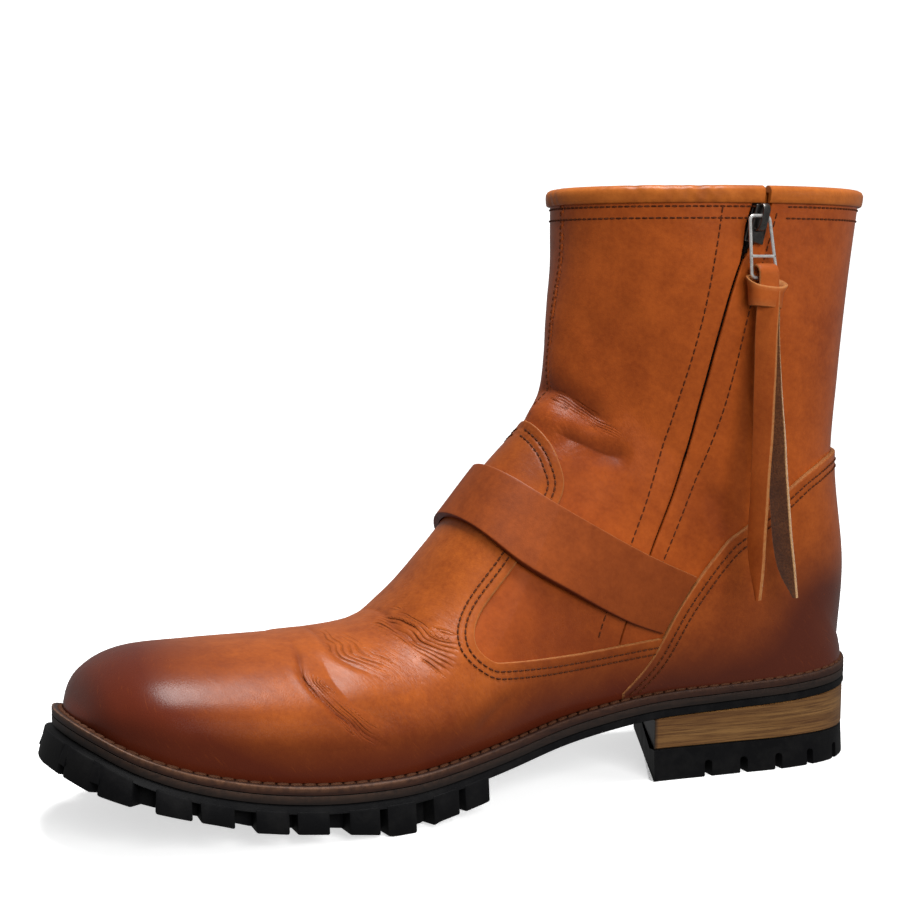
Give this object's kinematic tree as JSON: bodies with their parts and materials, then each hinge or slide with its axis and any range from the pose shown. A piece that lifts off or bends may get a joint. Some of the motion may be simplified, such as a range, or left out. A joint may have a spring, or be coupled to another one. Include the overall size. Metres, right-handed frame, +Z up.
{
  "type": "engineer boot",
  "caption": "Short tan leather engineer boot with an instep strap, a slanted side zip with a leather pull, a welted sole with lugs and a stacked heel.",
  "frame": {"origin": "centre of the boot's bounding box at floor level, under the arch", "axes": "-X towards the toe, +X towards the heel, -Y the inner side with the zip, +Z up"},
  "size_m": [0.3091, 0.1158, 0.208],
  "materials": {
    "leather": "full-grain tan leather, satin, burnished at toe and heel",
    "leather_edge": "folded tan leather",
    "insole_leather": "plain matte leather",
    "welt": "brown welt leather",
    "midsole": "dark brown sole leather",
    "rubber": "matte black rubber",
    "stacked_heel": "golden wood grain",
    "zip_cloth": "dark woven tape",
    "gunmetal": "dark polished metal",
    "steel": "bright wire"
  },
  "bodies": {
    "boot": {"upper": "leather", "counter": "leather", "back_stay": "leather", "collar_binding": "leather_edge", "strap": "leather", "zip_tape": "zip_cloth", "zip_chain": "gunmetal", "zip_slider": "gunmetal", "insole": "insole_leather", "welt": "welt", "midsole": "midsole", "outsole": "rubber", "heel_block": "stacked_heel", "heel_lift": "rubber"},
    "pull": {"zip_pull": "steel", "pull_thong": "leather"}
  },
  "joints": [
    {"name": "pull_swing", "type": "hinge", "parent": "boot", "child": "pull", "pos_m": [0.0842, -0.0509, 0.1975], "axis": [-1, 0, 0], "range_deg": [0, 150]}
  ]
}
